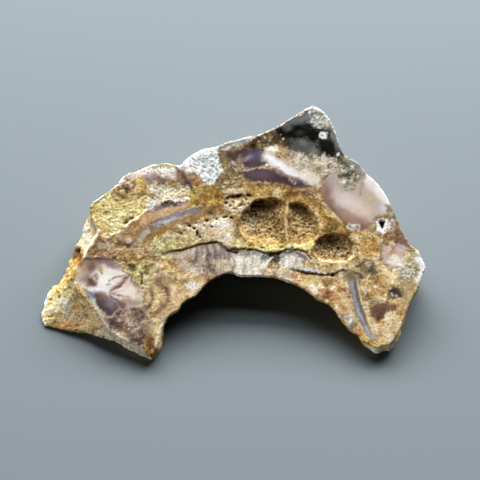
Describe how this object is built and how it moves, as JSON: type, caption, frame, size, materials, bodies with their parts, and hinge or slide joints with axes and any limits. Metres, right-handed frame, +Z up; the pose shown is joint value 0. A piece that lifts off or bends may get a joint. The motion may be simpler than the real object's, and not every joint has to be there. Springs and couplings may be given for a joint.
{
  "type": "chalcedony specimen",
  "caption": "Arched slab of chalcedony in brown matrix, sawn flat above and below, with broken flanks and hollows lined with spongy quartz.",
  "frame": {"origin": "middle of the stone's box, on the plane of its sawn base", "axes": "+Z up out of the base, +X along the arch's length, -Y towards the legs' tips and down the slope of the upper face"},
  "size_m": [0.149, 0.0986, 0.0296],
  "materials": {
    "stone": "sawn and half polished upper face, rough broken flanks"
  },
  "bodies": {
    "root": {"chalcedony": "stone"}
  },
  "joints": []
}
